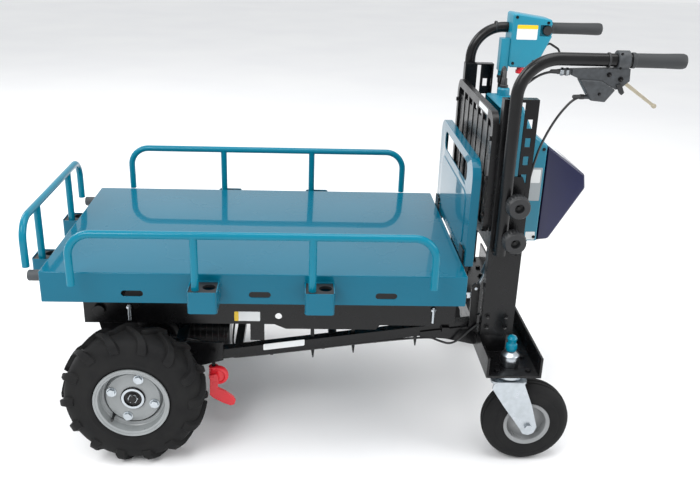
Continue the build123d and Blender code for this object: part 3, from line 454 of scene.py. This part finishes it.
# ------------------------------------------------------------------ tyres
TREAD_LINE = ((-9, 175.2), (14, 174.8), (31, 172.6), (42, 167.0), (49.5, 156.5), (54.0, 143.5))
LUG_SWEEP = (-2.0, 4.5, 9.0, 12.0, 13.5, 13.8)
LUG_SHARE = (1.0, 1.0, 1.0, 0.98, 0.86, 0.4)
LUG_HALF_WIDTH = (8.5, 9.6, 11.5, 13.6, 15.0, 13.2)
CARCASS = ((88, 45.6), (96.4, 45.6), (98.5, 51.0), (104, 53.5), (112, 55.4), (114, 54.6), (131, 55.6),
           (143.5, 54.0), (156.5, 49.5), (167, 42.0), (172.6, 31.0), (174.8, 14.0), (175.2, 0.0))


def along_line(values, share):
    """Value at a share of the way along a row of stations."""
    spot = share * (len(values) - 1)
    index = min(int(spot), len(values) - 2)
    return values[index] + (values[index + 1] - values[index]) * (spot - index)


def lug(bm, centre, side, turn, hand):
    """One tread lug, bent over the crown and down the shoulder of the tyre."""
    before = len(bm.verts)
    corners = bmesh.ops.create_cube(bm, size=1.0)["verts"]
    long_edges = [edge for edge in {edge for vert in corners for edge in vert.link_edges}
                  if abs(edge.verts[0].co.x - edge.verts[1].co.x) > 0.5]
    bmesh.ops.subdivide_edges(bm, edges=long_edges, cuts=9, use_grid_fill=True)
    bm.verts.ensure_lookup_table()
    verts = bm.verts[before:]
    for vert in verts:
        share = min(1.0, max(0.0, vert.co.x + 0.5))
        across = along_line([spot[0] for spot in TREAD_LINE], share)
        radius = along_line([spot[1] for spot in TREAD_LINE], share)
        ahead = min(1.0, share + 0.04), max(0.0, share - 0.04)
        slope = (along_line([spot[0] for spot in TREAD_LINE], ahead[0])
                 - along_line([spot[0] for spot in TREAD_LINE], ahead[1]),
                 along_line([spot[1] for spot in TREAD_LINE], ahead[0])
                 - along_line([spot[1] for spot in TREAD_LINE], ahead[1]))
        length = math.hypot(*slope)
        lift = (vert.co.z + 0.5) * (sizes().lug_height / MM + 1.5) * along_line(LUG_SHARE, share) - 1.5
        narrowing = 1.0 - 0.28 * (vert.co.z + 0.5)
        across += -slope[1] / length * lift
        radius += slope[0] / length * lift
        angle = turn + hand * math.radians(along_line(LUG_SWEEP, share)) \
            + 2 * vert.co.y * narrowing * along_line(LUG_HALF_WIDTH, share) / radius
        vert.co = centre + Vector((math.sin(angle) * radius, side * across, math.cos(angle) * radius)) * MM


class WHEELBARROW_OT_tyres(bpy.types.Operator):
    """Builds the lugged drive tyres and the ribbed caster tyres."""
    bl_idname = "wheelbarrow.tyres"
    bl_label = "Tyres"

    def execute(self, context):
        count = sizes().lugs_a_side
        for name in SIDES:
            node = f"drive_tyre_{name}"
            centre = middle(node)
            bm = bmesh.new()
            outside = [(radius, along) for radius, along in CARCASS]
            outside += [(radius, -along) for radius, along in reversed(CARCASS[:-1])]
            inside = [(90, -36), (120, -44), (150, -40), (162, 0), (150, 40), (120, 44), (90, 36)]
            lathe(bm, outside + inside, centre, (0, 1, 0), 96, True)
            for index in range(count):
                for side in (-1, 1):
                    turn = 2 * math.pi * (index + 0.5 * (side > 0)) / count
                    lug(bm, centre, side, turn, 1)
            tyre = piece(f"tractor_tyre_{name}", bm, BODY_OF[node], "tyre", 1.6 * MM, 32)
            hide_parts(node)
            node = f"caster_tyre_{name}"
            bm = bmesh.new()
            half = [(55, 25), (60.5, 25), (62, 30.5), (68, 32.6), (76, 33.6), (84, 33.8), (86, 32.8),
                    (89, 33.2), (98, 31.8), (105, 27.5), (110.5, 20.5), (113, 15.4), (109.5, 14.4),
                    (109.5, 11.6), (113.8, 10.6), (114.5, 3.4), (111, 2.2), (111, 0)]
            lathe(bm, half + [(radius, -along) for radius, along in reversed(half[:-1])]
                  + [(58, -18), (80, -24), (98, -20), (98, 20), (80, 24), (58, 18)],
                  middle(node), (0, 1, 0), 80, True)
            tyre = piece(f"ribbed_tyre_{name}", bm, BODY_OF[node], "tyre", smooth=32)
            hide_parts(node)
        return {"FINISHED"}


# ------------------------------------------------------------------ wheels
class WHEELBARROW_OT_wheel_fittings(bpy.types.Operator):
    """Adds the valves, rim beads, hub seals, swivel seals and dust caps of the wheels."""
    bl_idname = "wheelbarrow.wheel_fittings"
    bl_label = "Wheel fittings"

    def execute(self, context):
        for name, side in SIDES.items():
            rim = middle(f"drive_rim_{name}")
            body = f"drive_wheel_{name}"
            out = Vector((0, side, 0))
            bm = bmesh.new()
            lathe(bm, [(90, 54), (92, 55.6), (95.4, 55.8), (96.6, 53.6), (95.2, 51.5), (91, 51)],
                  rim, out, 96, True)
            lathe(bm, [(74, 20), (77, 22.5), (80, 23.4), (80.6, 21), (76, 18.5)], rim, out, 96, True)
            piece(f"rim_bead_{name}", bm, body, "rim_paint")
            bm = bmesh.new()
            foot = rim + Vector((-52 * MM, 30 * MM * side, -52 * MM))
            rod(bm, foot - out * 14 * MM, foot + out * 4 * MM, 5.5 * MM, 3.6 * MM)
            rod(bm, foot + out * 4 * MM, foot + out * 17 * MM, 2.9 * MM)
            rod(bm, foot + out * 12 * MM, foot + out * 21 * MM, 4.2 * MM, 3.8 * MM, 16)
            piece(f"tyre_valve_{name}", bm, body, "cable_sleeve")
            bm = bmesh.new()
            lathe(bm, [(23, 27), (23, 31.2), (29.6, 31.2), (31.4, 29), (31.4, 26.2)], rim, out, 64, True)
            lathe(bm, [(22.4, 26.2), (22.4, 27), (13, 27), (13, 26.2)], rim, out, 48, True)
            lathe(bm, [(0, 36), (8.6, 36), (10, 34.6), (10, 30), (15, 28.4), (17, 25), (17, 20)],
                  rim, out, 48)
            piece(f"hub_seal_{name}", bm, body, "gear_case")
            caster = middle(f"caster_rim_{name}")
            body = f"caster_wheel_{name}"
            bm = bmesh.new()
            for face in (-1, 1):
                out = Vector((0, face, 0))
                lathe(bm, [(11, 30), (11, 32.5), (19, 32.5), (22, 30.6), (22, 29)], caster, out, 48, True)
                lathe(bm, [(51, 26), (55, 28.5), (60.5, 31.8), (61.4, 30.2), (57, 25)],
                      caster, out, 80, True)
            piece(f"caster_seal_{name}", bm, body, "caster_rim_paint")
            bm = bmesh.new()
            pivot = at(1178, 337 * side, 0)
            lathe(bm, [(30, 247.5), (36.5, 247.5), (39.5, 250.5), (39.5, 261), (36, 264.4), (30, 264.4)],
                  pivot, (0, 0, 1), 64, True)
            piece(f"swivel_shroud_{name}", bm, "chassis", "zinc")
        return {"FINISHED"}


# ------------------------------------------------------------------ handles
class WHEELBARROW_OT_hand_pieces(bpy.types.Operator):
    """Builds the grips, the fluted clamp knobs and the knob studs of the handles."""
    bl_idname = "wheelbarrow.hand_pieces"
    bl_label = "Grips and knobs"

    def execute(self, context):
        flutes = sizes().knob_flutes
        for name, side in SIDES.items():
            node = f"grip_{name}"
            first, last = low(node), high(node)
            centre = middle(node)
            length = (last.x - first.x) / MM
            start = Vector((first.x, centre.y, centre.z))
            profile = [(HANDLE_R, 0.2), (17.4, 0.2), (18.0, 1.6), (18.0, 7.6), (17.2, 9.2), (16.3, 10)]
            profile += [(16.35, length * 0.34), (16.6, length * 0.6), (17.3, length - 30), (17.6, length - 16),
                        (17.3, length - 8), (15.4, length - 2.6), (11, length - 0.4), (0, length)]
            bm = bmesh.new()
            lathe(bm, profile, start, (1, 0, 0), 64)
            grip = piece(f"moulded_grip_{name}", bm, f"handle_{name}", "grip_rubber", smooth=30)
            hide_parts(node)
            for level in ("upper", "lower"):
                node = f"clamp_knob_{level}_{name}"
                bottom, top = low(node), high(node)
                out = Vector((0, side, 0))
                centre = (bottom + top) / 2
                centre.y = bottom.y if side < 0 else top.y
                face = bmesh.new()
                steps = flutes * 4
                rings = [(28.2, -33), (29.2, -31), (29.2, -9), (27.0, -7), (26.4, -6.2), (26.4, -2),
                         (24.6, 0), (12.2, 0), (10.8, -1.6), (10.2, -13), (0, -13)]
                lathe(face, [(0, -33)] + rings, centre, out, steps)
                bmesh.ops.remove_doubles(face, verts=face.verts, dist=1e-6)
                for vert in face.verts:
                    spot = vert.co - centre
                    away = Vector((spot.x, 0, spot.z))
                    if away.length > 28 * MM:
                        wave = math.cos(flutes * math.atan2(spot.z, spot.x))
                        vert.co -= away.normalized() * (0.85 * MM * (1 - wave))
                knob = piece(f"fluted_knob_{level}_{name}", face, node, "knob_plastic", smooth=42)
                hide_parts(node)
                bm = bmesh.new()
                rod(bm, centre - out * 13.2 * MM, centre - out * 8.0 * MM, 5.0 * MM, 4.4 * MM, 6)
                rod(bm, centre - out * 76 * MM, centre - out * 32.5 * MM, 5.0 * MM)
                rod(bm, centre - out * 39 * MM, centre - out * 32.8 * MM, 11 * MM)
                piece(f"knob_stud_{level}_{name}", bm, node, "gear_case")
        return {"FINISHED"}


# ------------------------------------------------------------------ cables
CABLE_DROP = 19.2


def under_tube(x):
    """Height of a cable clipped below a sloping chassis tube."""
    return CHASSIS_LOW + (x - CHASSIS_START) * CHASSIS_RISE / CHASSIS_RUN - CABLE_DROP


BRAKE_UPPER = ((1228, -HANDLE_Y, 1019), (1206, -HANDLE_Y, 1019), (1178, -294, 1010), (1156, -288, 990),
               (1138, -270, 966), (1131, -257, 928), (1131, -257, 420), (1130, -252, 378), (1122, -242, 352),
               (1098, -241, 334), (1070, -239, 302), (1044, -228, 274), (1014, -211, 275),
               (980, -206.2, under_tube(980)), (484, -206.2, under_tube(484)), (440, -180, 202),
               (380, -112, 208), (316, -95, 220), (270, -95, 220))
BRAKE_LOWER = ((1288, -HANDLE_Y, 962), (1270, -HANDLE_Y, 962), (1242, -290, 926), (1222, -280, 882),
               (1208, -266, 832), (1203, -250, 784), (1199, -238, 734), (1192, -232, 676), (1184, -232, 600),
               (1180, -232, 430), (1168, -222, 384), (1142, -200, 357), (1112, -179, 341), (1078, -176, 312),
               (1042, -184, 292), (1004, -193.5, under_tube(1004)), (500, -194, under_tube(500)),
               (450, -150, 214), (446, -90, 226), (444, 20, 234), (420, 88, 226), (350, 95, 220),
               (270, 95, 220))
CONTROL = ((1185, 62, 914), (1185, 62, 938), (1189, 84, 962), (1196, 132, 956), (1203, 176, 914),
           (1210, 214, 870), (1216, 248, 858), (1219, 262, 882), (1219, 262, 912))


def routed(name, route, radius):
    """A cable tube on a smooth spline, and the points of its centreline."""
    curve = bpy.data.curves.new(name, "CURVE")
    curve.dimensions = "3D"
    curve.resolution_u = 10
    spline = curve.splines.new("NURBS")
    spline.points.add(len(route) - 1)
    for spot, place in zip(spline.points, route):
        spot.co = (*at(*place), 1.0)
    spline.order_u = 3
    spline.use_endpoint_u = True
    holder = bpy.data.objects.new(name, curve)
    bpy.context.scene.collection.objects.link(holder)
    bpy.context.view_layer.update()
    line = bpy.data.meshes.new_from_object(holder.evaluated_get(bpy.context.evaluated_depsgraph_get()))
    path = [vert.co.copy() for vert in line.vertices]
    curve.bevel_depth = radius * MM
    curve.bevel_resolution = 4
    curve.use_fill_caps = True
    bpy.context.view_layer.update()
    tube = bpy.data.meshes.new_from_object(holder.evaluated_get(bpy.context.evaluated_depsgraph_get()))
    bpy.data.objects.remove(holder)
    bm = bmesh.new()
    bm.from_mesh(tube)
    return bm, path


class WHEELBARROW_OT_cables(bpy.types.Operator):
    """Builds the two brake cables and the control cable as tubes along their set routes."""
    bl_idname = "wheelbarrow.cables"
    bl_label = "Cables"

    def execute(self, context):
        cables = (("brake_cable_upper", BRAKE_UPPER, 3.0, "handle_left", at(0, 0, 500), at(0, 0, 930)),
                  ("brake_cable_lower", BRAKE_LOWER, 3.0, "handle_left", at(0, 0, 500), at(0, 0, 930)),
                  ("control_cable", CONTROL, 5.5, "handle_right", at(0, 78, 0), at(0, 250, 0)))
        for node, route, radius, handle, start, end in cables:
            bm, path = routed(node, route, radius)
            tube = piece(node + "_sleeve", bm, None, "cable_sleeve")
            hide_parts(node)
            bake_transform(tube)
        return {"FINISHED"}


# ------------------------------------------------------------------ labels and screws
class WHEELBARROW_OT_labels(bpy.types.Operator):
    """Adds the blank plates and labels of the panels."""
    bl_idname = "wheelbarrow.labels"
    bl_label = "Blank labels"

    def execute(self, context):
        lift = sizes().label_lift
        left = Vector((0, -lift, 0))

        def panel(name, x0, x1, y, z0, z1, body, slot, lean=0.0):
            corners = [at(x0, y, z0), at(x1, y, z0 + lean), at(x1, y, z1 + lean), at(x0, y, z1)]
            return label(name, corners, left, body, slot)

        side = low("main_housing").y / MM
        panel("rating_plate", 1240, 1275, side, 640, 732, "chassis", "label_grey")
        panel("rating_plate_field", 1244, 1271, side - 0.4, 690, 727, "chassis", "label_white")
        panel("maintenance_plate", 1249, 1275, side, 528, 551, "chassis", "label_white")
        web, tube = -252, -214
        panel("subframe_label", 465, 532, web, 350, 377, "deck", "label_white")
        panel("subframe_label_band", 465, 476, web - 0.4, 350, 377, "deck", "label_yellow")
        panel("chassis_label", 538, 649, tube, 243, 261, "chassis", "label_white",
              111 * CHASSIS_RISE / CHASSIS_RUN)
        box = low("control_box").y / MM
        panel("control_label", 1249, 1309, box, 1020, 1061, "handle_right", "label_white")
        panel("control_label_band", 1249, 1309, box - 0.4, 1050, 1061, "handle_right", "label_yellow")
        front = low("guard").x
        corners = [Vector((front, y * MM, z * MM))
                   for y, z in ((-70, 890), (-180, 890), (-180, 904), (-70, 904))]
        label("guard_label", corners, Vector((-lift, 0, 0)), "chassis", "label_white")
        along = Vector((96, 0, -96 * 0.72)).normalized()
        out = Vector((-along.z, 0, along.x))
        top = at(1283.6, 0, 791.0 - 1.0) + out * 0.1 * MM
        corners = [top + along * run * MM + Vector((0, y * MM, 0)) for run, y in
                   ((9, -60), (112, -60), (112, 60), (9, 60))]
        label("cover_plate", corners, out * lift, "battery_cover", "label_white")
        return {"FINISHED"}


class WHEELBARROW_OT_fasteners(bpy.types.Operator):
    """Adds the screws, bolts, washers and rivets that hold the panels."""
    bl_idname = "wheelbarrow.fasteners"
    bl_label = "Fasteners"

    def execute(self, context):
        left, right, up, front = (Vector(way) for way in ((0, -1, 0), (0, 1, 0), (0, 0, 1), (-1, 0, 0)))

        def group(name, body, slot, places):
            bm = bmesh.new()
            for place, out, radius, hexagon in places:
                screw(bm, place, out, radius * MM, hexagon)
            return piece(name, bm, body, slot, smooth=30)

        box_low, box_high = low("control_box"), high("control_box")
        near, far = box_low.y / MM, box_high.y / MM
        corners = ((1246, 952), (1246, 1082), (1338, 1068), (1306, 958))
        group("control_box_screws", "handle_right", "gear_case",
              [(at(x, near, z), left, 3.2, False) for x, z in corners]
              + [(at(x, far, z), right, 3.2, False) for x, z in corners])
        group("clamp_screws", "handle_left", "gear_case",
              [(at(x, -HANDLE_Y - past, z), left, radius, hexagon) for x, past, z, radius, hexagon in
               ((1358, 15.4, 1063, 2.6, True), (1358, 15.4, 1032, 2.6, True), (1336, 11, 1016, 4.2, False),
                (1318, 16, 972, 2.8, False), (1364, 11, 1006, 4.6, True))])
        places = []
        for side in (-1, 1):
            out = left if side < 0 else right
            for x, z in ((1124, 352), (1172, 352), (1124, 382), (1172, 382), (1124, 560), (1176, 560)):
                places.append((at(x, side * 274, z), out, 6.0, True))
            for x, z in ((166, 176), (262, 176), (166, 250), (350, 238), (404, 244)):
                places.append((at(x, side * 220, z), out, 6.0, True))
            for x in (1140, 1212):
                places.append((at(x, side * 230, 276), up, 6.5, True))
                places.append((at(x, side * 150, 276), up, 5.0, True))
        group("frame_screws", "chassis", "black_paint", places)
        places = []
        for side in (-1, 1):
            for y in (196, 230):
                places.append((at(1056 - 0.2, side * y, 545), front, 4.2, True))
            for x in (118, 420, 672, 945):
                places.append((at(x, side * 252, 412), left if side < 0 else right, 5.2, True))
        group("deck_screws", "deck", "black_paint", places)
        house = low("main_housing").y / MM
        group("housing_screws", "chassis", "gear_case",
              [(at(x, side * -house, z), left if side < 0 else right, 3.4, False)
               for side in (-1, 1) for x, z in ((1272, 536), (1272, 782), (1158, 536), (1158, 878))])
        return {"FINISHED"}


# ------------------------------------------------------------------ small trim
class WHEELBARROW_OT_trim(bpy.types.Operator):
    """Adds the bumper plugs, cable boots and adjusters, glands, cable clips, neck rings, clamp wheel, motor
    fins, release lever and deck pins.
    """
    bl_idname = "wheelbarrow.trim"
    bl_label = "Trim"

    def execute(self, context):
        bm = bmesh.new()
        for side in (-1, 1):
            lathe(bm, [(9, -40.4), (11.4, -40.4), (11.4, -37), (9, -37)], at(0, side * 290, 490),
                  (1, 0, 0), 40, True)
        piece("bumper_plugs", bm, "deck", "gear_case")
        bm = bmesh.new()
        for x, z in ((1228, 1019), (1288, 962)):
            lathe(bm, [(3.1, -26), (4.6, -24), (5.2, -10), (6.0, -9), (6.0, 0), (3.1, 0)],
                  at(x, -HANDLE_Y, z), (1, 0, 0), 32, True)
        piece("cable_boots", bm, "handle_left", "knob_plastic")
        bm = bmesh.new()
        rod(bm, at(1224, -HANDLE_Y, 1019), at(1246, -HANDLE_Y, 1019), 6.6 * MM)
        for x in (1226, 1238):
            rod(bm, at(x, -HANDLE_Y, 1019), at(x + 6, -HANDLE_Y, 1019), 9.4 * MM, sides=6)
        piece("cable_adjusters", bm, "handle_left", "zinc")
        bm = bmesh.new()
        lathe(bm, [(5.6, 0), (11.5, 0), (11.5, 6), (8.6, 8), (7.4, 24), (5.6, 26)], at(1185, 62, 914),
              (0, 0, 1), 40, True)
        piece("housing_gland", bm, "chassis", "knob_plastic")
        bm = bmesh.new()
        lathe(bm, [(5.6, 0), (10.4, 0), (10.4, 7), (8.0, 9), (7.0, 22), (5.6, 24)], at(1219, 262, 914),
              (0, 0, -1), 40, True)
        piece("box_gland", bm, "handle_right", "knob_plastic")
        bm = bmesh.new()
        for x in (380, 560, 700, 840, 948):
            for side, y in ((-1, -206.2), (1, -194)):
                rod(bm, at(x - 4, y, under_tube(x)), at(x + 4, y, under_tube(x + 4)), 4.3 * MM, sides=20)
        for z in (470, 620, 780, 900):
            rod(bm, at(1131, -257, z), at(1131, -257, z + 7), 4.3 * MM, sides=20)
        piece("cable_clips", bm, "chassis", "cable_sleeve")
        bm = bmesh.new()
        for x in (1196, 1346):
            lathe(bm, [(HANDLE_R, 0), (17, 0), (17.4, 1), (17.4, 5), (17, 6), (HANDLE_R, 6)],
                  at(x, HANDLE_Y, HANDLE_Z), (1, 0, 0), 48, True)
        piece("neck_rings_right", bm, "handle_right", "knob_plastic")
        bm = bmesh.new()
        lathe(bm, [(HANDLE_R, 0), (16.6, 0), (17, 1), (17, 4), (16.6, 5), (HANDLE_R, 5)],
              at(1331, -HANDLE_Y, HANDLE_Z), (1, 0, 0), 48, True)
        piece("neck_ring_left", bm, "handle_left", "knob_plastic")
        bm = bmesh.new()
        lathe(bm, [(0, 0), (13, 0), (14, 1.5), (14, 11), (12.5, 13), (0, 13)], at(1339, 252, 1046),
              (0, -1, 0), 40)
        piece("clamp_wheel", bm, "handle_right", "knob_plastic")
        bm = bmesh.new()
        for step in range(6):
            x = 326 + step * 17
            lathe(bm, [(51, 0), (54.5, 0), (55, 1), (55, 5), (54.5, 6), (51, 6)], at(x, 0, 196.5),
                  (1, 0, 0), 64, True)
        piece("motor_fins", bm, "chassis", "gear_case")
        bm = bmesh.new()
        pin = at(401, -200, 0)
        lathe(bm, [(5.2, 150), (12, 150), (14, 152), (14, 184), (12, 186), (5.2, 186)], pin,
              (0, 0, 1), 48, True)
        hub = at(414, -206, 160)
        lathe(bm, [(0, -9), (24, -9), (27, -6), (27.5, 2), (25, 7), (19, 9), (17, 6), (0, 5)], hub,
              (0, -1, 0), 56)
        blade = [at(x, -213, z) for x, z in ((392, 168), (412, 172), (416, 150), (412, 128), (432, 118),
                                             (455, 100), (461, 88), (457, 76), (446, 73), (428, 80), (400, 96),
                                             (390, 106))]
        prism(bm, blade, Vector((0, -10 * MM, 0)))
        lever = piece("red_release_lever", bm, "clutch_lever", "red_plastic", 3 * MM, 40)
        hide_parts("clutch_lever")
        bm = bmesh.new()
        for x in (195, 985):
            for side in (-1, 1):
                rod(bm, at(x, side * 256, 352), at(x, side * 256, 396), 4.2 * MM, sides=24)
                rod(bm, at(x, side * 256, 386), at(x, side * 256, 392), 7.2 * MM, sides=6)
        piece("deck_pins", bm, "deck", "zinc")
        return {"FINISHED"}


# ------------------------------------------------------------------ panel and run
STEPS = (WHEELBARROW_OT_stage, WHEELBARROW_OT_cables, WHEELBARROW_OT_bodywork, WHEELBARROW_OT_tyres,
         WHEELBARROW_OT_wheel_fittings, WHEELBARROW_OT_hand_pieces, WHEELBARROW_OT_labels,
         WHEELBARROW_OT_fasteners, WHEELBARROW_OT_trim)


class WHEELBARROW_PT_panel(bpy.types.Panel):
    """Lists the steps that finish the wheelbarrow."""
    bl_idname = "WHEELBARROW_PT_panel"
    bl_label = "Power wheelbarrow"
    bl_space_type = "VIEW_3D"
    bl_region_type = "UI"
    bl_category = "Wheelbarrow"

    def draw(self, context):
        for group in (context.scene.wheelbarrow_sizes, context.scene.wheelbarrow_colours):
            for name in group.__annotations__:
                self.layout.prop(group, name)
        for step in STEPS:
            self.layout.operator(step.bl_idname)


CLASSES = (WheelbarrowSizes, WheelbarrowColours, *STEPS, WHEELBARROW_PT_panel)


def register():
    for made in CLASSES:
        bpy.utils.register_class(made)
    bpy.types.Scene.wheelbarrow_sizes = PointerProperty(type=WheelbarrowSizes)
    bpy.types.Scene.wheelbarrow_colours = PointerProperty(type=WheelbarrowColours)


def unregister():
    del bpy.types.Scene.wheelbarrow_colours
    del bpy.types.Scene.wheelbarrow_sizes
    for made in reversed(CLASSES):
        bpy.utils.unregister_class(made)


def main():
    register()
    for step in STEPS:
        group, name = step.bl_idname.split(".")
        getattr(getattr(bpy.ops, group), name)()


if __name__ == "__main__":
    main()
